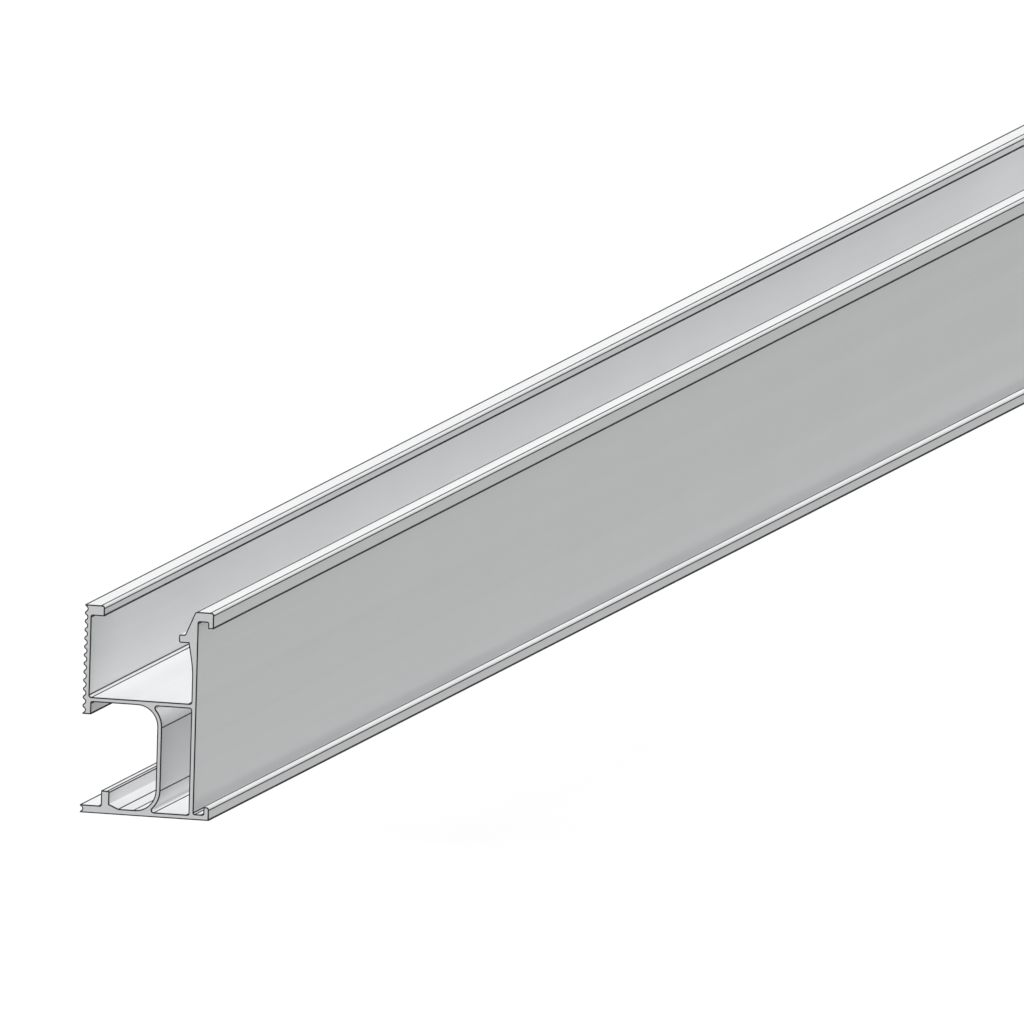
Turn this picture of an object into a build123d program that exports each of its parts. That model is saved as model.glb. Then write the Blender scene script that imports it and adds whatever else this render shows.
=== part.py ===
from build123d import *
import os

# Aluminium extrusion profile, in millimetres: one section drawn in the XZ plane and
# run along Y, standing on its flat base with the origin under its middle.
# A serrated side wall and a tall plain wall are joined by a shelf. A web with two
# large bends closes a chamber beneath the shelf and leaves a side channel open. The
# tall wall carries a ledge, a hook and, with the base lip, a recess for a cover.

# Overall size of the stock length.
LENGTH = 1000.0
HEIGHT = 60.0
WIDTH = 38.2

# Thicknesses and radii used in several places.
THIN = 1.4          # shelf, web and chamber floor
FLOOR = 1.7         # base plate under the side channel and the cover recess
CREASE = 0.35       # plain inside corners
SOFT = 0.6          # softer corners

# Tall wall, set in from the right-hand face.
WALL = 1.5
RECESS = 4.5

# Shelf and serrated side wall.
SHELF_UNDER = 32.0
SIDE_UPPER = 2.0
SIDE_LOWER = 2.6
SIDE_DROP = 3.6
VALLEYS = 13
DEPTH = 0.75

# Flange on top of the side wall.
FLANGE = 3.1
FLANGE_REACH = 5.85

# Curved web between shelf and base.
WEB_FROM_RIGHT = 15.9
BEND = 6.0

# Base plate left of the web.
TIP = 2.3
RIB = 2.45
RIB_FROM_LEFT = 6.2
RIB_HEIGHT = 6.7
SLOPE_RUN = 2.8
SLOPE_RISE = 1.2

# Ledge on the inner face of the tall wall, and the swelling below it.
LEDGE = 2.4
LEDGE_FROM_TOP = 6.8
LEDGE_REACH = 4.2
HEAD_FOOT = 2.4
HEAD_TOP = 0.5
SWELL = 1.3
SWELL_LENGTH = 7.3
SWELL_BEND = 30.0

# Hook and lips that hold a clip-in cover.
HOOK = 2.9
HOOK_DROP = 4.7
HOOK_LIP = 1.65
BASE_LIP = 1.6
BASE_LIP_HEIGHT = 3.9
LIP_ROUND = 0.75

# Places that follow from the sizes above.
LEFT, RIGHT = -WIDTH / 2, WIDTH / 2
WALL_OUT = RIGHT - RECESS
WALL_IN = WALL_OUT - WALL
SHELF_TOP = SHELF_UNDER + THIN
SIDE_IN = LEFT + SIDE_UPPER
SIDE_IN_LOW = LEFT + SIDE_LOWER
SIDE_FOOT = SHELF_UNDER - SIDE_DROP
FLANGE_END = LEFT + FLANGE_REACH
WEB_LEFT = RIGHT - WEB_FROM_RIGHT
BEND_X = WEB_LEFT - BEND
RIB_LEFT = LEFT + RIB_FROM_LEFT
RIB_RIGHT = RIB_LEFT + RIB
LEDGE_TOP = HEIGHT - LEDGE_FROM_TOP
LEDGE_UNDER = LEDGE_TOP - LEDGE
LEDGE_END = WALL_IN - LEDGE_REACH
HOOK_LIP_X = RIGHT - HOOK_LIP
BASE_LIP_X = RIGHT - BASE_LIP


def block(x_from, x_to, z_from, z_to):
    """A plain rectangle of the section."""
    middle = Pos((x_from + x_to) / 2, (z_from + z_to) / 2)
    return middle * Rectangle(x_to - x_from, z_to - z_from)


def polygon(*points):
    """A straight-sided piece of the section."""
    return make_face(Polyline(*points, close=True))


def rounded(shape, radius, *spots):
    """The shape with the corner nearest to each spot rounded."""
    corners = [shape.vertices().sort_by_distance((x, z, 0))[0] for x, z in spots]
    return fillet(corners, radius)


def ridged(x_to, z_from, z_to, valleys):
    """A block whose left face waves, with a crest at its top and at its bottom."""
    step = (z_to - z_from) / valleys / 4
    middle, top, bottom = LEFT + DEPTH / 2, z_to + step, z_from - step
    outline = Polyline((middle, bottom), (x_to, bottom), (x_to, top), (middle, top))
    for count in range(2 * valleys + 1):
        z = top - 2 * step * count
        reach = LEFT + DEPTH * (count % 2)
        outline += ThreePointArc((middle, z), (reach, z - step), (middle, z - 2 * step))
    return make_face(outline) & block(LEFT, x_to, z_from, z_to)


def side_wall():
    """The serrated wall, thicker below the shelf, with the flange at its top."""
    upper = ridged(SIDE_IN, SIDE_FOOT, HEIGHT, VALLEYS)
    lower = block(LEFT + DEPTH, SIDE_IN_LOW, SIDE_FOOT, SHELF_TOP)
    flange = block(LEFT + DEPTH, FLANGE_END, HEIGHT - FLANGE, HEIGHT)
    return upper + lower + rounded(flange, LIP_ROUND, (FLANGE_END, HEIGHT))


def base():
    """The base plate with its ridged tip, the upright rib and the slope beside it."""
    tip = ridged(RIB_RIGHT, 0, TIP, 1)
    rib = block(RIB_LEFT, RIB_RIGHT, 0, RIB_HEIGHT)
    slope = polygon(
        (RIB_LEFT, 0),
        (RIB_RIGHT + SLOPE_RUN, 0),
        (RIB_RIGHT + SLOPE_RUN, FLOOR),
        (RIB_RIGHT, FLOOR + SLOPE_RISE),
        (RIB_LEFT, FLOOR + SLOPE_RISE),
    )
    return tip + rib + slope + block(RIB_LEFT, RIGHT, 0, FLOOR)


def channel_end(growth):
    """The rounded end of the side channel, grown outward by an even thickness."""
    x_to = WEB_LEFT + growth
    z_low, z_high = FLOOR - growth, SHELF_UNDER + growth
    shape = block(BEND_X, x_to, z_low, z_high)
    return rounded(shape, BEND + growth, (x_to, z_low), (x_to, z_high))


def core():
    """Solid between base, shelf and tall wall, hollowed on the side channel's side."""
    return block(BEND_X, WALL_OUT, 0, SHELF_TOP) - channel_end(0)


def chamber():
    """The hollow between the web and the tall wall."""
    shape = block(BEND_X, WALL_IN, THIN, SHELF_UNDER) - channel_end(THIN)
    shape = rounded(shape, SOFT, (WEB_LEFT, THIN), (WEB_LEFT, SHELF_UNDER))
    shape = rounded(shape, SOFT, (WALL_IN, SHELF_UNDER))
    return rounded(shape, CREASE, (WALL_IN, THIN))


def head():
    """The thicker top of the tall wall: slope, ledge and the swelling beneath it."""
    swell_foot = LEDGE_UNDER - SWELL_LENGTH
    shape = polygon(
        (WALL_OUT, HEIGHT),
        (WALL_IN + HEAD_TOP, HEIGHT),
        (WALL_IN - HEAD_FOOT, LEDGE_TOP),
        (LEDGE_END, LEDGE_TOP),
        (LEDGE_END, LEDGE_UNDER),
        (WALL_IN - SWELL, LEDGE_UNDER),
        (WALL_IN, swell_foot),
        (WALL_IN, SHELF_UNDER),
        (WALL_OUT, SHELF_UNDER),
    )
    shape = rounded(shape, SWELL_BEND, (WALL_IN, swell_foot))
    shape = rounded(shape, SOFT, (LEDGE_END, LEDGE_TOP), (LEDGE_END, LEDGE_UNDER))
    shape = rounded(shape, CREASE, (WALL_IN - HEAD_FOOT, LEDGE_TOP))
    return rounded(shape, LIP_ROUND, (WALL_IN + HEAD_TOP, HEIGHT))


def hook():
    """The top plate that runs out from the tall wall and turns down at its end."""
    z_low = HEIGHT - HOOK
    plate = block(WALL_OUT, RIGHT, z_low, HEIGHT)
    lip = block(HOOK_LIP_X, RIGHT, HEIGHT - HOOK_DROP, HEIGHT)
    shape = rounded(plate + lip, LIP_ROUND, (RIGHT, HEIGHT))
    return rounded(shape, CREASE, (HOOK_LIP_X, z_low))


def base_lip():
    """The low upturned edge on the right of the base."""
    shape = block(BASE_LIP_X, RIGHT, 0, BASE_LIP_HEIGHT)
    shape = rounded(shape, LIP_ROUND, (RIGHT, BASE_LIP_HEIGHT))
    return rounded(shape, CREASE, (BASE_LIP_X, BASE_LIP_HEIGHT))


def section():
    """The whole section, with the inside corners rounded where the members meet."""
    shelf = block(LEFT + DEPTH, WALL_OUT, SHELF_UNDER, SHELF_TOP)
    shape = base() + core() + side_wall() + shelf + head() + hook() + base_lip()
    shape = shape - chamber()
    shape = rounded(shape, SOFT, (SIDE_IN, SHELF_TOP), (WALL_IN, SHELF_TOP))
    return rounded(
        shape,
        CREASE,
        (SIDE_IN, HEIGHT - FLANGE),
        (SIDE_IN_LOW, SHELF_UNDER),
        (RIB_LEFT, TIP),
        (RIB_RIGHT, RIB_HEIGHT),
        (WALL_OUT, HEIGHT - HOOK),
        (WALL_OUT, FLOOR),
        (BASE_LIP_X, FLOOR),
    )


profile = extrude(Plane.XZ * section(), amount=LENGTH / 2, both=True)

os.makedirs("parts", exist_ok=True)
export_step(profile, "parts/extrusion_profile.step")
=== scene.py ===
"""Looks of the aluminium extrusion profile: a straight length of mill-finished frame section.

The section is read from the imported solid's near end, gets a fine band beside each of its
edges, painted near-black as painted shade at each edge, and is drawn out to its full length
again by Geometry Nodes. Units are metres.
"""

import logging
import math
from dataclasses import dataclass, field
from enum import Enum
from itertools import accumulate, combinations
from typing import Any, Sequence

import bmesh
import bpy
from mathutils import Matrix, Vector
from mathutils.geometry import delaunay_2d_cdt
from mathutils.kdtree import KDTree


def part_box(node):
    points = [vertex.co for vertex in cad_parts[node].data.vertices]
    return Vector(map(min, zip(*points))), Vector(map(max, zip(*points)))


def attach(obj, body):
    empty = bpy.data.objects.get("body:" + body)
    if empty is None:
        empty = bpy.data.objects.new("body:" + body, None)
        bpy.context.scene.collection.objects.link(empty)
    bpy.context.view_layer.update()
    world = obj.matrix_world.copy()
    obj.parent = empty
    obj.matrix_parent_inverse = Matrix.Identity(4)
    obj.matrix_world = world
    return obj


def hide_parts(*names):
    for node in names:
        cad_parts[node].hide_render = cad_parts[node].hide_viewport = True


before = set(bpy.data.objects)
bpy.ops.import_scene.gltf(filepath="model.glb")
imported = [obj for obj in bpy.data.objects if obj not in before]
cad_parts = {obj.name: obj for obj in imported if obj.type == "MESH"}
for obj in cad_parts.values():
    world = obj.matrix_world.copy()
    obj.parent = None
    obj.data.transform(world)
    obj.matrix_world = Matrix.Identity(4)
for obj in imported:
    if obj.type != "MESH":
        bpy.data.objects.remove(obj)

LOG = logging.getLogger("extrusion_profile")
MM = 0.001
NODE = "extrusion_profile"


class Surface(Enum):
    """The three surfaces of the profile, in the order of its material slots."""

    SKIN = 0
    SAWN = 1
    ARRIS = 2


class Signal:
    """A shader socket that adds Math nodes when Python arithmetic is done on it."""

    def __init__(self, sheet: "NodeSheet", socket: bpy.types.NodeSocket) -> None:
        """Keeps the socket and the sheet that its nodes go on."""
        self.sheet = sheet
        self.socket = socket

    def _math(self, operation: str, *values: Any) -> "Signal":
        """Adds one Math node.

        Args:
            operation: The Math node's operation.
            values: Its inputs, numbers or signals, in order.

        Returns:
            The node's result.
        """
        return self.sheet.node("ShaderNodeMath", {"operation": operation}, dict(enumerate(values)))

    def __add__(self, other: Any) -> "Signal":
        """self + other."""
        return self._math("ADD", self, other)

    def __sub__(self, other: Any) -> "Signal":
        """self - other."""
        return self._math("SUBTRACT", self, other)

    def __mul__(self, other: Any) -> "Signal":
        """self * other."""
        return self._math("MULTIPLY", self, other)

    __radd__ = __add__
    __rmul__ = __mul__


class NodeSheet:
    """A node tree, with one method that adds any node."""

    def __init__(self, tree: bpy.types.NodeTree) -> None:
        """Empties the tree and keeps it.

        Args:
            tree: The tree to build on.
        """
        self.tree = tree
        tree.nodes.clear()

    def node(
        self,
        kind: str,
        settings: dict[str, Any],
        inputs: dict[Any, Any],
        output: Any = 0,
    ) -> Signal:
        """Adds a node.

        Args:
            kind: The node's type.
            settings: The node's own settings, set before its sockets.
            inputs: Values or signals, by socket name or number.
            output: The name or number of the socket wanted.

        Returns:
            The wanted output as a signal.
        """
        made = self.tree.nodes.new(kind)
        for name, value in settings.items():
            setattr(made, name, value)
        for key, value in inputs.items():
            self.feed(made.inputs[key], value)
        return Signal(self, made.outputs[output])

    def feed(self, socket: bpy.types.NodeSocket, value: Any) -> None:
        """Links or sets one input socket.

        Args:
            socket: The socket to feed.
            value: A signal, or a value for the socket itself.
        """
        if isinstance(value, Signal):
            self.tree.links.new(value.socket, socket)
        else:
            socket.default_value = value

    def blend(self, share: Signal, low: Sequence[float], high: Sequence[float]) -> Signal:
        """A colour between two others.

        Args:
            share: 0 for the first, 1 for the second.
            low: The first colour.
            high: The second colour.

        Returns:
            The colour.
        """
        return self.node(
            "ShaderNodeMix",
            {"data_type": "RGBA", "clamp_factor": True},
            {0: share, 6: (*low, 1.0), 7: (*high, 1.0)},
            2,
        )


class ShaderSheet(NodeSheet):
    """A material's node tree around one Principled shader."""

    def __init__(self, name: str) -> None:
        """Makes a node material with its Principled shader and output.

        Args:
            name: The material's name.
        """
        self.material = bpy.data.materials.new(name)
        self.material.use_nodes = True
        super().__init__(self.material.node_tree)
        output = self.tree.nodes.new("ShaderNodeOutputMaterial")
        self.shader = self.tree.nodes.new("ShaderNodeBsdfPrincipled")
        self.tree.links.new(self.shader.outputs["BSDF"], output.inputs["Surface"])

    def stretched(self, repeats: Sequence[float]) -> Signal:
        """Object coordinates, stretched on each axis.

        Args:
            repeats: Repeats per metre along X, Y and Z.

        Returns:
            The stretched coordinates.
        """
        where = self.node("ShaderNodeTexCoord", {}, {}, "Object")
        return self.node("ShaderNodeVectorMath", {"operation": "MULTIPLY"}, {0: where, 1: repeats})

    def place(self, pitch: Sequence[float]) -> Signal:
        """Object coordinates that repeat at a pitch along X, Y and Z, in metres."""
        return self.stretched([1 / length for length in pitch])

    def noise(self, where: Signal, detail: float, roughness: float = 0.5) -> Signal:
        """Noise of about zero mean, from -0.5 to 0.5.

        Args:
            where: Its coordinates, one unit to a patch.
            detail: Octaves of finer noise.
            roughness: How strong the finer noise is.

        Returns:
            The noise.
        """
        made = self.node(
            "ShaderNodeTexNoise",
            {"noise_dimensions": "3D"},
            {"Vector": where, "Scale": 1.0, "Detail": detail, "Roughness": roughness},
            "Fac",
        )
        return made - 0.5

    def colour(self, tone: Signal, shade: Sequence[float], bright: Sequence[float]) -> None:
        """Colours the shader.

        Args:
            tone: 0 for the darkest tone, 1 for the lightest.
            shade: The darkest tone.
            bright: The lightest tone.
        """
        self.feed(self.shader.inputs["Base Color"], self.blend(tone, shade, bright))

    def gloss(self, roughness: Any, metallic: float, specular: float) -> None:
        """Sets how the shader shines.

        Args:
            roughness: The roughness, a number or a signal.
            metallic: The share of bare metal's mirror.
            specular: The specular level.
        """
        self.feed(self.shader.inputs["Roughness"], roughness)
        self.feed(self.shader.inputs["Metallic"], metallic)
        self.feed(self.shader.inputs["Specular IOR Level"], specular)

    def relief(self, height: Signal, depth: float, slope: float) -> None:
        """Gives the shader a fine relief.

        Args:
            height: The height, about -0.5 to 0.5.
            depth: The height of one unit, in metres.
            slope: The share of its slope that shows.
        """
        normal = self.node(
            "ShaderNodeBump", {}, {"Strength": slope, "Distance": depth, "Height": height}
        )
        self.feed(self.shader.inputs["Normal"], normal)


@dataclass(frozen=True)
class MillSkin:
    """Extruded skin: fine lines left by the die along Y, on a slightly clouded satin.

    Attributes:
        shade: The darkest tone.
        bright: The lightest tone.
        metallic: The share of bare metal's mirror.
        roughness: The mean roughness.
        specular: The specular level.
        line_pitch: From one die line to the next.
        line_run: How far a die line runs along Y before it fades.
        line_tone: How strongly the die lines change the tone.
        line_gloss: How strongly they change the roughness.
        line_depth: Their depth.
        line_slope: The share of their slope that shows.
        band_pitch: From one broad band to the next.
        band_run: How far a band runs along Y.
        band_tone: How strongly the bands change the tone.
        cloud: The size of a cloud.
        cloud_tone: How strongly the clouds change the tone.
        cloud_gloss: How strongly they change the roughness.
    """

    shade: tuple[float, float, float] = (0.65, 0.655, 0.66)
    bright: tuple[float, float, float] = (0.73, 0.735, 0.74)
    metallic: float = 0.2
    roughness: float = 0.5
    specular: float = 0.25
    line_pitch: float = 1.2 * MM
    line_run: float = 0.9
    line_tone: float = 0.55
    line_gloss: float = 0.12
    line_depth: float = 0.02 * MM
    line_slope: float = 0.25
    band_pitch: float = 7.0 * MM
    band_run: float = 1.5
    band_tone: float = 0.7
    cloud: float = 45.0 * MM
    cloud_tone: float = 0.5
    cloud_gloss: float = 0.08

    def build(self) -> bpy.types.Material:
        """Builds the material.

        Returns:
            The finished material.
        """
        sheet = ShaderSheet("mill_skin")
        pitch = (self.line_pitch, self.line_run, self.line_pitch)
        lines = sheet.noise(sheet.place(pitch), detail=2.0, roughness=0.6)
        pitch = (self.band_pitch, self.band_run, self.band_pitch)
        bands = sheet.noise(sheet.place(pitch), detail=1.0)
        clouds = sheet.noise(sheet.place((self.cloud,) * 3), detail=2.0)
        tone = 0.5 + lines * self.line_tone + bands * self.band_tone + clouds * self.cloud_tone
        sheet.colour(tone, self.shade, self.bright)
        gloss = self.roughness + lines * self.line_gloss + clouds * self.cloud_gloss
        sheet.gloss(gloss, self.metallic, self.specular)
        sheet.relief(lines, self.line_depth, self.line_slope)
        return sheet.material


@dataclass(frozen=True)
class SawnEnd:
    """The cut ends: brighter metal with faint curved marks of the saw blade.

    Attributes:
        shade: The darkest tone.
        bright: The lightest tone.
        metallic: The share of bare metal's mirror.
        roughness: The mean roughness.
        specular: The specular level.
        blade_centre: The centre of the saw blade.
        mark_pitch: From one mark to the next.
        mark_tone: How strongly the marks change the tone.
        mark_gloss: How strongly they change the roughness.
        mark_depth: Their depth.
        mark_slope: The share of their slope that shows.
        cloud: The size of a cloud.
        cloud_tone: How strongly the clouds change the tone.
    """

    shade: tuple[float, float, float] = (0.65, 0.655, 0.66)
    bright: tuple[float, float, float] = (0.75, 0.755, 0.76)
    metallic: float = 0.2
    roughness: float = 0.5
    specular: float = 0.25
    blade_centre: tuple[float, float, float] = (-0.09, 0.0, -0.13)
    mark_pitch: float = 0.5 * MM
    mark_tone: float = 0.6
    mark_gloss: float = 0.12
    mark_depth: float = 0.02 * MM
    mark_slope: float = 0.3
    cloud: float = 6.25 * MM
    cloud_tone: float = 0.5

    def build(self) -> bpy.types.Material:
        """Builds the material.

        Returns:
            The finished material.
        """
        sheet = ShaderSheet("sawn_end")
        apart = sheet.node(
            "ShaderNodeVectorMath",
            {"operation": "DISTANCE"},
            {0: sheet.stretched((1.0, 0.0, 1.0)), 1: self.blade_centre},
            "Value",
        )
        marks = sheet.node(
            "ShaderNodeTexNoise",
            {"noise_dimensions": "1D"},
            {"W": apart * (1 / self.mark_pitch), "Scale": 1.0, "Detail": 2.0},
            "Fac",
        )
        marks = marks - 0.5
        clouds = sheet.noise(sheet.place((self.cloud,) * 3), detail=2.0)
        tone = 0.5 + marks * self.mark_tone + clouds * self.cloud_tone
        sheet.colour(tone, self.shade, self.bright)
        sheet.gloss(self.roughness + marks * self.mark_gloss, self.metallic, self.specular)
        sheet.relief(marks, self.mark_depth, self.mark_slope)
        return sheet.material


@dataclass(frozen=True)
class ArrisLine:
    """A dull dark line painted along each edge of the profile: painted shade and dark reflection
    at each arris.

    Attributes:
        shade: The darkest tone.
        bright: The lightest tone.
        metallic: The share of bare metal's mirror.
        roughness: The mean roughness.
        specular: The specular level.
        mottle_repeats: Repeats of the painted line's random mottle per metre along X, Y and Z.
        mottle_gloss: How strongly the mottle changes the roughness.
    """

    # Near-black tones of the painted edge shade.
    shade: tuple[float, float, float] = (0.012, 0.0125, 0.013)
    bright: tuple[float, float, float] = (0.03, 0.031, 0.032)
    metallic: float = 0.0
    roughness: float = 0.8
    specular: float = 0.2
    mottle_repeats: tuple[float, float, float] = (700.0, 60.0, 700.0)
    mottle_gloss: float = 0.2

    def build(self) -> bpy.types.Material:
        """Builds the material.

        Returns:
            The finished material.
        """
        sheet = ShaderSheet("arris_line")
        mottle = sheet.noise(sheet.stretched(self.mottle_repeats), detail=2.0)
        # Paints the near-black edge shade, mottled at random.
        sheet.colour(0.5 + mottle, self.shade, self.bright)
        sheet.gloss(self.roughness + mottle * self.mottle_gloss, self.metallic, self.specular)
        return sheet.material


class Edge(Enum):
    """What an outline does at one of its points."""

    NONE = "runs on"
    SHARP = "turns sharply"
    BEND = "starts or ends a bend"


@dataclass(frozen=True)
class EdgeBands:
    """How wide the painted dark band, the painted edge shade, beside an edge is, on faces of each
    kind.

    Attributes:
        level: Beside a sharp edge, on a face that points up or down.
        upright: Beside a sharp edge, on a face that points sideways.
        overhang: On an upright face, beside the edge of one that points down; wider, as painted
            shade under the overhang.
        bend_level: Where a bend meets a level face, on that face.
        bend_upright: Where a bend meets an upright face, on that face.
        bend_itself: Where a bend meets a face, on the bend.
        sharp_turn: An outline that turns more than this has a sharp edge.
        hollow_turn: An inner corner that turns more than this is left plain.
        least_turn: One that turns less than this has no edge.
        long_run: The shortest step that counts as a face.
        uneven: How much longer a face is than the steps of the bend beside it.
        least_gap: Points of the outline stay at least this far apart.
        least_stretch: At a sharp point, an inset moves the point no further than its
            width over this.
    """

    level: float = 0.68 * MM
    upright: float = 0.26 * MM
    overhang: float = 0.6 * MM
    bend_level: float = 0.46 * MM
    bend_upright: float = 0.26 * MM
    bend_itself: float = 0.13 * MM
    sharp_turn: float = math.radians(20)
    hollow_turn: float = math.radians(45)
    least_turn: float = math.radians(1)
    long_run: float = 1.0 * MM
    uneven: float = 1.7
    least_gap: float = 0.03 * MM
    least_stretch: float = 0.5

    def edge(self, turn: float, before: float, after: float) -> Edge:
        """Tells what an outline does at a point.

        Args:
            turn: The outline's turn there, in radians, negative at an inner corner.
            before: The length of the step that ends there.
            after: The length of the step that starts there.

        Returns:
            The kind of edge.
        """
        if turn < -self.hollow_turn:
            return Edge.NONE
        if turn > self.sharp_turn:
            return Edge.SHARP
        short, long = sorted((before, after))
        bends = abs(turn) > self.least_turn and long > max(self.long_run, short * self.uneven)
        return Edge.BEND if bends or turn < -self.sharp_turn else Edge.NONE

    def width(self, edge: Edge, step: Vector, other: Vector) -> float:
        """The band's width on one side of an edge.

        Args:
            edge: The kind of edge.
            step: The outline's step on that side.
            other: Its step on the other side.

        Returns:
            The width.
        """
        level = abs(step.x) > abs(step.y)
        if edge is Edge.NONE:
            return 0.0
        if edge is Edge.BEND:
            if step.length < other.length:
                return self.bend_itself
            return self.bend_level if level else self.bend_upright
        if level:
            return self.level
        # Under a face that points down the band is wider: painted shade under the overhang.
        return self.overhang if other.x > abs(other.y) else self.upright


@dataclass
class SectionLoop:
    """One closed outline of the section, with the metal on its left.

    Attributes:
        points: The outline's points in the XZ plane, in order.
        lined: For each step to the next point, whether it lies in an edge's band.
    """

    points: list[Vector]
    lined: list[bool] = field(default_factory=list)

    def step(self, index: int) -> Vector:
        """The step from one point to the next."""
        return self.points[(index + 1) % len(self.points)] - self.points[index]

    def turn(self, index: int) -> float:
        """The outline's turn at a point, in radians, positive to the left."""
        return -self.step(index - 1).angle_signed(self.step(index))

    def area(self) -> float:
        """The area inside, positive if the outline runs anticlockwise."""
        pairs = zip(self.points, self.points[1:] + self.points[:1])
        return sum(a.x * b.y - a.y * b.x for a, b in pairs) / 2

    def banded(self, bands: EdgeBands) -> "SectionLoop":
        """The same outline, with a point at each end of each edge's band.

        Args:
            bands: The widths of the bands.

        Returns:
            The new outline, with its steps marked.
        """
        count = len(self.points)
        steps = [self.step(i).length for i in range(count)]
        starts = [0.0, *accumulate(steps)]
        total = starts[-1]
        spans = []
        for i in range(count):
            edge = bands.edge(self.turn(i), steps[i - 1], steps[i])
            before = bands.width(edge, self.step(i - 1), self.step(i))
            after = bands.width(edge, self.step(i), self.step(i - 1))
            if before or after:
                spans.append((starts[i] - before, starts[i] + after))
        cuts = sorted(end % total for span in spans for end in span)
        points, places = [], []
        for i in range(count):
            latest = starts[i]
            points.append(self.points[i])
            places.append(latest)
            for cut in cuts:
                if latest + bands.least_gap < cut < starts[i + 1] - bands.least_gap:
                    points.append(self.points[i] + self.step(i) * ((cut - starts[i]) / steps[i]))
                    places.append(cut)
                    latest = cut
        middles = [(a + b) / 2 for a, b in zip(places, places[1:] + [total])]
        lined = [
            any(low < middle + lap < high for low, high in spans for lap in (-total, 0, total))
            for middle in middles
        ]
        return SectionLoop(points, lined)

    def inset(self, width: float, least_stretch: float) -> list[Vector]:
        """The outline moved into the metal.

        Args:
            width: How far each side moves.
            least_stretch: The width over this is the furthest that a point moves.

        Returns:
            The moved points, in the same order.
        """
        moved = []
        for i, point in enumerate(self.points):
            before, after = self.step(i - 1).normalized(), self.step(i).normalized()
            inward = Vector((-before.y - after.y, before.x + after.x)).normalized()
            stretch = max(math.cos(self.turn(i) / 2), least_stretch)
            moved.append(point + inward * (width / stretch))
        return moved


class GeometrySheet(NodeSheet):
    """A Geometry Nodes tree with named inputs and one geometry output."""

    def __init__(self, name: str, inputs: dict[str, str]) -> None:
        """Makes the tree and its sockets.

        Args:
            name: The tree's name.
            inputs: The socket type of each named input.
        """
        super().__init__(bpy.data.node_groups.new(name, "GeometryNodeTree"))
        faces = self.tree.interface
        faces.new_socket("Geometry", in_out="OUTPUT", socket_type="NodeSocketGeometry")
        self.identifiers = {
            label: faces.new_socket(label, in_out="INPUT", socket_type=kind).identifier
            for label, kind in inputs.items()
        }
        self.given = self.tree.nodes.new("NodeGroupInput")

    def input(self, label: str) -> Signal:
        """One of the tree's named inputs."""
        return Signal(self, self.given.outputs[label])

    def also(self, signal: Signal, output: str) -> Signal:
        """Another output of the node that a signal comes from."""
        return Signal(self, signal.socket.node.outputs[output])

    def equals(self, signal: Signal, number: int) -> Signal:
        """Whether a whole number is the given one."""
        settings = {"data_type": "INT", "operation": "EQUAL"}
        return self.node("FunctionNodeCompare", settings, {2: signal, 3: number})

    def end(self, result: Signal) -> None:
        """Joins the result to the tree's output."""
        self.feed(self.tree.nodes.new("NodeGroupOutput").inputs[0], result)

    def apply(self, piece: bpy.types.Object, values: dict[str, Any]) -> None:
        """Runs the tree on a piece and keeps the result as its plain mesh.

        Args:
            piece: The object whose mesh goes in.
            values: A value for each named input but the geometry.
        """
        modifier = piece.modifiers.new(self.tree.name, "NODES")
        modifier.node_group = self.tree
        for label, value in values.items():
            modifier[self.identifiers[label]] = value
        graph = bpy.context.evaluated_depsgraph_get()
        made = bpy.data.meshes.new_from_object(piece.evaluated_get(graph))
        piece.modifiers.remove(modifier)
        piece.data = made


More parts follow.
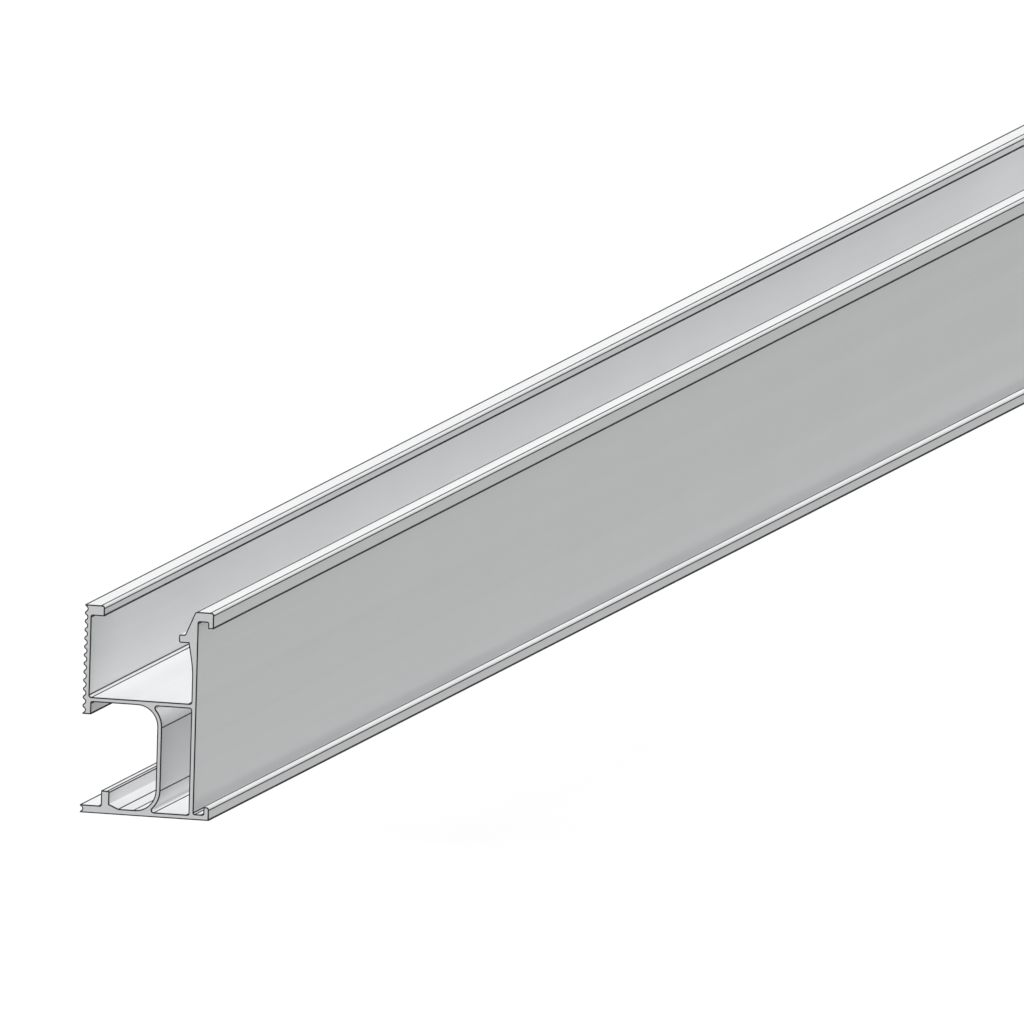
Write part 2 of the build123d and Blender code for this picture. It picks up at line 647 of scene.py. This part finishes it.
@dataclass
class BakeMap:
    """The profile's picture map: its skin unrolled in rows, above them both cut ends.

    Narrow steps of the outline get more room than their width, so that none is lost.

    Attributes:
        name: The name of the UV map.
        pixels: The width of the picture that the map is meant for.
        rows: The number of rows.
        row_height: Each row's height, in pixels.
        gap: The room between rows and round the ends, in pixels.
        step_room: The least room for a step of the outline, in pixels.
        line_room: More room for a step that lies in an edge's band.
        row_loss: The room left empty at the ends of rows, in pixels.
        end_room: The room for the band beside a cut end.
        end_scale: The cut ends' pixels for each metre.
    """

    name: str = "OFBake"
    pixels: float = 1024
    rows: int = 2
    row_height: float = 300
    gap: float = 6
    step_room: float = 1.1
    line_room: float = 1.5
    row_loss: float = 20.48
    end_room: float = 3
    end_scale: float = 8100

    def spans(self, loops: Sequence[SectionLoop]) -> list[list[tuple[int, float, float]]]:
        """Gives each step of each outline its place.

        Args:
            loops: The outlines.

        Returns:
            For each step the row, and where it starts and ends, in pixels.
        """
        lined = [flag for loop in loops for flag in loop.lined]
        length = sum(loop.step(i).length for loop in loops for i in range(len(loop.points)))
        room = self.rows * (self.pixels - 2 * self.gap) - len(loops) * self.gap - self.row_loss
        stretch = (room - self.step_room * len(lined) - self.line_room * sum(lined)) / length
        row, at, spans = 0, self.gap, []
        for loop in loops:
            places = []
            for i, flag in enumerate(loop.lined):
                wide = self.step_room + self.line_room * flag + stretch * loop.step(i).length
                if at + wide > self.pixels - self.gap:
                    row, at = row + 1, self.gap
                places.append((row, at, at + wide))
                at += wide
            spans.append(places)
            at += self.gap
        return spans

    def lay(
        self,
        mesh: bpy.types.Mesh,
        loops: Sequence[SectionLoop],
        low: Vector,
        high: Vector,
        end_band: float,
    ) -> None:
        """Writes the map to a mesh.

        Args:
            mesh: The profile's mesh.
            loops: The outlines that it was drawn from.
            low: Its lowest corner.
            high: Its highest corner.
            end_band: The width of the band beside a cut end.
        """
        spans = self.spans(loops)
        owners = [(k, i) for k, loop in enumerate(loops) for i in range(len(loop.points))]
        tree = KDTree(len(owners))
        for number, (k, i) in enumerate(owners):
            tree.insert(loops[k].points[i].to_3d(), number)
        tree.balance()
        top = self.rows * (self.row_height + self.gap) + self.gap
        layer = mesh.uv_layers.new(name=self.name)
        for face in mesh.polygons:
            corners = [mesh.vertices[v].co for v in face.vertices]
            places = [c.y for c in corners]
            if max(places) - min(places) < end_band / 2:
                side = self.gap + self.pixels / 2 * (places[0] > (low.y + high.y) / 2)
                spots = [
                    (side + (c.z - low.z) * self.end_scale, top + (c.x - low.x) * self.end_scale)
                    for c in corners
                ]
            else:
                met = [owners[tree.find((c.x, c.z, 0))[1]] for c in corners]
                k = met[0][0]
                ends = sorted({i for owner, i in met if owner == k})
                first = ends[-1] if ends[-1] > ends[0] + 1 else ends[0]
                row, start, stop = spans[k][first]
                base = self.gap + row * (self.row_height + self.gap)
                spots = [
                    (
                        start if i == first else stop,
                        base + self.along(c.y, low.y, high.y, end_band),
                    )
                    for c, (_, i) in zip(corners, met)
                ]
            for loop, (u, v) in zip(face.loop_indices, spots):
                layer.data[loop].uv = (u / self.pixels, v / self.pixels)

    def along(self, place: float, near: float, far: float, band: float) -> float:
        """How far up its row a place along the length lies.

        Args:
            place: The place along Y.
            near: The near end's place.
            far: The far end's place.
            band: The width of the band beside a cut end.

        Returns:
            The height above the foot of the row, in pixels.
        """
        if place < near + band / 2:
            return 0.0
        if place > far - band / 2:
            return self.row_height
        share = (place - near - band) / (far - near - 2 * band)
        return self.end_room + share * (self.row_height - 2 * self.end_room)


@dataclass
class Profile:
    """The extruded length, drawn from the section at the solid's near end.

    Attributes:
        bands: The widths of the bands beside the edges.
        end_band: The width of the band round each cut end.
        ring_gap: Points of that band's inner side nearer than this are one. At corners
            they are 0.08 mm apart, so it is a little more.
        bake_map: The picture map.
        same_place: Points nearer than this are one.
        same_spot: The same, while a cut end is filled.
        lined_share: A drawn face lies in an edge's band if more than this share of its
            edges is lined. The two along the outline are, and the two beside aren't.
        smooth_turn: Faces that meet at more than this keep a hard edge.
    """

    bands: EdgeBands = field(default_factory=EdgeBands)
    bake_map: BakeMap = field(default_factory=BakeMap)
    end_band: float = 0.34 * MM
    ring_gap: float = 0.082 * MM
    same_place: float = 0.001 * MM
    same_spot: float = 0.0001 * MM
    lined_share: float = 0.4
    smooth_turn: float = math.radians(25)

    def read(self, node: bpy.types.Object) -> list[SectionLoop]:
        """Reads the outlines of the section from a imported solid.

        Args:
            node: The solid's object.

        Returns:
            The outlines, each with the metal on its left.
        """
        solid = bmesh.new()
        solid.from_mesh(node.data)
        bmesh.ops.remove_doubles(solid, verts=solid.verts, dist=self.same_place)
        near = min(v.co.y for v in solid.verts) + self.same_place
        edges = {
            e: None
            for e in solid.edges
            if all(v.co.y < near for v in e.verts)
            and any(v.co.y > near for f in e.link_faces for v in f.verts)
        }
        loops = []
        while edges:
            edge, _ = edges.popitem()
            first, vert = edge.verts
            points = [first.co.xz]
            while vert is not first:
                points.append(vert.co.xz)
                edge = next(e for e in vert.link_edges if e in edges)
                del edges[edge]
                vert = edge.other_vert(vert)
            loops.append(SectionLoop(points))
        solid.free()
        loops.sort(key=lambda loop: -abs(loop.area()))
        for loop in loops:
            if (loop.area() > 0) != (loop is loops[0]):
                loop.points.reverse()
        return loops

    def plate(self, loops: Sequence[SectionLoop], near: float) -> bpy.types.Mesh:
        """The flat section at the near end, with a band round its outlines.

        Args:
            loops: The section's outlines, with their bands.
            near: The near end's place along Y.

        Returns:
            The plate. Its edges hold "arris" and its faces "surface".
        """
        flat = bmesh.new()
        arris = flat.edges.layers.float.new("arris")
        surface = flat.faces.layers.int.new("surface")
        moved = []
        for loop in loops:
            inset = loop.inset(self.end_band, self.bands.least_stretch)
            outer = [flat.verts.new((p.x, near, p.y)) for p in loop.points]
            inner = [flat.verts.new((p.x, near, p.y)) for p in inset]
            for i, lined in enumerate(loop.lined):
                j = (i + 1) % len(outer)
                ring = flat.faces.new((outer[i], outer[j], inner[j], inner[i]))
                # The band round the cut end takes the painted edge shade.
                ring[surface] = Surface.ARRIS.value
                flat.edges.get((outer[i], outer[j]))[arris] = float(lined)
            moved += inner
        bmesh.ops.remove_doubles(flat, verts=moved, dist=self.ring_gap)
        kept = {v for v in moved if v.is_valid}
        rims = [e for e in flat.edges if e.is_boundary and kept.issuperset(e.verts)]
        for face in self.fill(flat, rims):
            face[surface] = Surface.SAWN.value
        flat.normal_update()
        mesh = bpy.data.meshes.new("section_plate")
        flat.to_mesh(mesh)
        flat.free()
        return mesh

    def fill(
        self, flat: bmesh.types.BMesh, rims: Sequence[bmesh.types.BMEdge]
    ) -> list[bmesh.types.BMFace]:
        """Fills the area between closed rims with triangles that face -Y.

        The triangles are found in millimetres. A walk over them, from the outermost ones
        inwards, tells which lie inside: it goes in or out at each rim that it crosses.

        Args:
            flat: The mesh that holds the rims.
            rims: Their edges.

        Returns:
            The new faces.
        """
        corners = list(dict.fromkeys(v for e in rims for v in e.verts))
        number = {v: i for i, v in enumerate(corners)}
        pairs = [tuple(number[v] for v in e.verts) for e in rims]
        spots = [v.co.xz / MM for v in corners]
        found, sides, triangles, sources, covered, _ = delaunay_2d_cdt(
            spots, pairs, [], 0, self.same_spot / MM
        )
        near = corners[0].co.y
        places = [
            corners[source[0]] if source else flat.verts.new((spot.x * MM, near, spot.y * MM))
            for spot, source in zip(found, sources)
        ]
        turns = {frozenset(side): len(rim) % 2 for side, rim in zip(sides, covered)}
        beside = {side: [] for side in turns}
        for trio in triangles:
            for side in combinations(trio, 2):
                beside[frozenset(side)].append(tuple(trio))
        inside = {}
        reached = [(both[0], turns[side]) for side, both in beside.items() if len(both) == 1]
        while reached:
            trio, within = reached.pop()
            if trio in inside:
                continue
            inside[trio] = within
            for side in map(frozenset, combinations(trio, 2)):
                reached += [(other, within ^ turns[side]) for other in beside[side]]
        return [
            flat.faces.new([places[i] for i in trio]) for trio in triangles if inside[tuple(trio)]
        ]

    def press(self) -> GeometrySheet:
        """The tree that draws a section plate out to a closed length.

        Returns:
            The tree, with inputs for the length, the end band and the three materials.
        """
        sheet = GeometrySheet(
            "drawn_length",
            {
                "Plate": "NodeSocketGeometry",
                "Length": "NodeSocketFloat",
                "End Band": "NodeSocketFloat",
                "Smooth Turn": "NodeSocketFloat",
                "Same Place": "NodeSocketFloat",
                **{kind.name.title(): "NodeSocketMaterial" for kind in Surface},
            },
        )
        whole = self.closed(sheet, self.drawn(sheet))
        whole = self.smoothed(sheet, whole)
        whole = sheet.node("GeometryNodeRealizeInstances", {}, {"Geometry": whole})
        sheet.end(self.dressed(sheet, whole))
        return sheet

    def drawn(self, sheet: GeometrySheet) -> Signal:
        """Draws the plate's rims out in three stretches: end band, length and end band.

        Args:
            sheet: The tree.

        Returns:
            The plate and its skin. The number of each face's surface is on it.
        """
        band, length = sheet.input("End Band"), sheet.input("Length")
        rim = sheet.equals(sheet.node("GeometryNodeInputMeshEdgeNeighbors", {}, {}), 1)
        arris = sheet.node(
            "GeometryNodeInputNamedAttribute", {"data_type": "FLOAT"}, {"Name": "arris"}
        )
        lined = sheet.node(
            "FunctionNodeCompare", {"operation": "GREATER_THAN"}, {0: arris, 1: self.lined_share}
        )
        # Faces in an edge's band, and the end bands, take the painted edge shade.
        ring, line = Surface.ARRIS.value, lined * Surface.ARRIS.value
        drawn = sheet.input("Plate")
        for reach, surface in ((band, ring), (length - band * 2, line), (band, ring)):
            offset = sheet.node("ShaderNodeCombineXYZ", {}, {"Y": reach})
            drawn = sheet.node(
                "GeometryNodeExtrudeMesh",
                {"mode": "EDGES"},
                {"Mesh": drawn, "Selection": rim, "Offset": offset, "Offset Scale": 1.0},
            )
            rim, side = sheet.also(drawn, "Top"), sheet.also(drawn, "Side")
            drawn = sheet.node(
                "GeometryNodeStoreNamedAttribute",
                {"data_type": "INT", "domain": "FACE"},
                {"Geometry": drawn, "Selection": side, "Name": "surface", "Value": surface},
            )
        return drawn

    def closed(self, sheet: GeometrySheet, drawn: Signal) -> Signal:
        """Closes the far end with a turned copy of the plate.

        Args:
            sheet: The tree.
            drawn: The plate and its skin.

        Returns:
            The closed length.
        """
        shift = sheet.node("ShaderNodeCombineXYZ", {}, {"Y": sheet.input("Length")})
        far = sheet.node(
            "GeometryNodeTransform",
            {},
            {"Geometry": sheet.input("Plate"), "Translation": shift},
        )
        far = sheet.node("GeometryNodeFlipFaces", {}, {"Mesh": far})
        whole = sheet.node("GeometryNodeJoinGeometry", {}, {0: drawn})
        sheet.feed(whole.socket.node.inputs[0], far)
        return sheet.node(
            "GeometryNodeMergeByDistance",
            {},
            {"Geometry": whole, "Distance": sheet.input("Same Place")},
        )

    def smoothed(self, sheet: GeometrySheet, whole: Signal) -> Signal:
        """Smooths the shading across gentle turns only.

        Args:
            sheet: The tree.
            whole: The closed length.

        Returns:
            The same shape.
        """
        turn = sheet.node("GeometryNodeInputMeshEdgeAngle", {}, {})
        gentle = sheet.node(
            "FunctionNodeCompare",
            {"operation": "LESS_THAN"},
            {0: turn, 1: sheet.input("Smooth Turn")},
        )
        whole = sheet.node("GeometryNodeSetShadeSmooth", {"domain": "FACE"}, {"Geometry": whole})
        return sheet.node(
            "GeometryNodeSetShadeSmooth",
            {"domain": "EDGE"},
            {"Geometry": whole, "Shade Smooth": gentle},
        )

    def dressed(self, sheet: GeometrySheet, whole: Signal) -> Signal:
        """Gives each surface its material.

        Args:
            sheet: The tree.
            whole: The closed length.

        Returns:
            The dressed length.
        """
        surface = sheet.node(
            "GeometryNodeInputNamedAttribute", {"data_type": "INT"}, {"Name": "surface"}
        )
        for kind in Surface:
            material = sheet.input(kind.name.title())
            here = sheet.equals(surface, kind.value)
            whole = sheet.node(
                "GeometryNodeSetMaterial",
                {},
                {"Geometry": whole, "Selection": here, "Material": material},
            )
        return whole

    def build(self, node: bpy.types.Object) -> bpy.types.Object:
        """Builds the dressed profile in the solid's place.

        Args:
            node: The solid's object.

        Returns:
            The finished piece.
        """
        low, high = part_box(node.name)
        loops = [loop.banded(self.bands) for loop in self.read(node)]
        piece = bpy.data.objects.new("profile_length", self.plate(loops, low.y))
        bpy.context.scene.collection.objects.link(piece)
        finishes = (MillSkin(), SawnEnd(), ArrisLine())
        materials = {
            kind.name.title(): finish.build() for kind, finish in zip(Surface, finishes)
        }
        for material in materials.values():
            piece.data.materials.append(material)
        sizes = {
            "Length": high.y - low.y,
            "End Band": self.end_band,
            "Smooth Turn": self.smooth_turn,
            "Same Place": self.same_place,
        }
        self.press().apply(piece, {**sizes, **materials})
        self.bake_map.lay(piece.data, loops, low, high, self.end_band)
        return piece


@dataclass(frozen=True)
class Viewpoint:
    """The parallel view of the photograph.

    Attributes:
        azimuth: The camera's bearing round the object, in degrees.
        elevation: Its height above the horizon, in degrees.
        turn: How far the picture leans to the right, in degrees.
        pixels_per_metre: The picture's scale.
        corner: The picture's place of the near end's lower right corner, in pixels.
        picture: The picture's width and height, in pixels.
        distance: The camera's distance from that corner.
        sight: The nearest and the furthest that the camera sees.
    """

    azimuth: float = 15.4
    elevation: float = 8.64
    turn: float = 1.54
    pixels_per_metre: float = 3506.7
    corner: tuple[float, float] = (208.5, 821.07)
    picture: tuple[float, float] = (1024, 1024)
    distance: float = 3.0
    sight: tuple[float, float] = (0.1, 20.0)

    def build(self, near_corner: Vector) -> bpy.types.Object:
        """Places the camera.

        Args:
            near_corner: The near end's lower right corner.

        Returns:
            The camera.
        """
        around, up = math.radians(self.azimuth), math.radians(self.elevation)
        lean = math.radians(self.turn)
        back = Vector(
            (math.sin(around) * math.cos(up), -math.cos(around) * math.cos(up), math.sin(up))
        )
        level = Vector((math.cos(around), math.sin(around), 0))
        right = level * math.cos(lean) + back.cross(level) * math.sin(lean)
        above = back.cross(right)
        across = (self.picture[0] / 2 - self.corner[0]) / self.pixels_per_metre
        along = (self.corner[1] - self.picture[1] / 2) / self.pixels_per_metre
        place = near_corner + right * across + above * along + back * self.distance
        data = bpy.data.cameras.new("viewpoint")
        data.type = "ORTHO"
        data.ortho_scale = max(self.picture) / self.pixels_per_metre
        data.clip_start, data.clip_end = self.sight
        camera = bpy.data.objects.new("viewpoint", data)
        turned = Matrix((right, above, back)).transposed().to_4x4()
        camera.matrix_world = Matrix.Translation(place) @ turned
        bpy.context.scene.collection.objects.link(camera)
        bpy.context.scene.camera = camera
        return camera


@dataclass(frozen=True)
class Lamp:
    """A far, soft lamp, which lights the whole length evenly.

    Attributes:
        name: The lamp's name.
        towards: The direction from the object to the lamp.
        spread: The lamp's width as seen from the object, in degrees.
        level: The light on a face turned to it, where 1 shows a colour as written.
        shades: Whether it casts shadows.
    """

    name: str
    towards: tuple[float, float, float]
    spread: float
    level: float
    shades: bool = False

    def build(self) -> bpy.types.Object:
        """Places the lamp.

        Returns:
            The lamp.
        """
        data = bpy.data.lights.new(self.name, "SUN")
        data.angle = math.radians(self.spread)
        data.energy = self.level * math.pi
        data.use_shadow = self.shades
        lamp = bpy.data.objects.new(self.name, data)
        lamp.rotation_mode = "QUATERNION"
        lamp.rotation_quaternion = Vector(self.towards).to_track_quat("Z", "Y")
        bpy.context.scene.collection.objects.link(lamp)
        return lamp


@dataclass(frozen=True)
class Studio:
    """A pale floor under soft light.

    Attributes:
        floor_size: The floor's width and length.
        floor_drop: How far the floor lies under the object.
        pale: The floor's colour as it is seen, directly or in a reflection.
        matt: The floor's colour for the light that it throws back.
        sky: The colour of the light from all round.
        wall: The colour of the room as it is seen, directly or in a reflection.
        lamps: The lamps.
    """

    floor_size: float = 12.0
    floor_drop: float = 0.1 * MM
    pale: tuple[float, float, float] = (0.82, 0.82, 0.82)
    matt: tuple[float, float, float] = (0.12, 0.12, 0.12)
    sky: tuple[float, float, float] = (0.12, 0.12, 0.12)
    wall: tuple[float, float, float] = (1.0, 1.0, 1.0)
    lamps: tuple[Lamp, ...] = (
        Lamp("overhead_fill", (0.0, -0.1, 1.0), 30, 0.79),
        Lamp("front_fill", (0.26, -0.85, 0.45), 30, 0.49),
        Lamp("right_fill", (0.85, -0.1, 0.35), 30, 0.15),
        Lamp("back_light", (-0.9, 0.2, 0.4), 30, 0.15, shades=True),
    )

    def build(self) -> None:
        """Builds the floor, the world and the lamps."""
        self.floor()
        self.room()
        for lamp in self.lamps:
            lamp.build()

    def seen(self, sheet: NodeSheet) -> Signal:
        """1 for what the eye sees, directly or in a reflection, and 0 for thrown light."""
        rays = ("Is Camera Ray", "Is Glossy Ray", "Is Transmission Ray")
        return sum((sheet.node("ShaderNodeLightPath", {}, {}, ray) for ray in rays), 0.0)

    def room(self) -> None:
        """Fills the room with even light from walls that look white."""
        world = bpy.data.worlds.new("studio_world")
        world.use_nodes = True
        sheet = NodeSheet(world.node_tree)
        colour = sheet.blend(self.seen(sheet), self.sky, self.wall)
        back = sheet.node("ShaderNodeBackground", {}, {"Color": colour})
        sheet.feed(sheet.tree.nodes.new("ShaderNodeOutputWorld").inputs["Surface"], back)
        bpy.context.scene.world = world

    def floor(self) -> bpy.types.Object:
        """Lays the floor, which is pale to the eye and keeps the object's shadow.

        Returns:
            The floor.
        """
        half = self.floor_size / 2
        corners = [(-half, -half), (half, -half), (half, half), (-half, half)]
        mesh = bpy.data.meshes.new("studio_floor")
        mesh.from_pydata([(x, y, -self.floor_drop) for x, y in corners], [], [(0, 1, 2, 3)])
        sheet = ShaderSheet("studio_floor")
        sheet.colour(self.seen(sheet), self.matt, self.pale)
        sheet.gloss(roughness=1.0, metallic=0.0, specular=0.0)
        mesh.materials.append(sheet.material)
        floor = bpy.data.objects.new("studio_floor", mesh)
        bpy.context.scene.collection.objects.link(floor)
        return floor


def main() -> None:
    """Builds the scene and logs each piece."""
    logging.basicConfig(level=logging.INFO, format="%(name)s: %(message)s")
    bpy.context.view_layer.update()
    bpy.context.scene.view_settings.view_transform = "Standard"
    low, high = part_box(NODE)
    piece = Profile().build(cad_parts[NODE])
    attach(piece, "root")
    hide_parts(NODE)
    LOG.info("%s: %d faces", piece.name, len(piece.data.polygons))
    Studio().build()
    Viewpoint().build(Vector((high.x, low.y, low.z)))


if __name__ == "__main__":
    main()
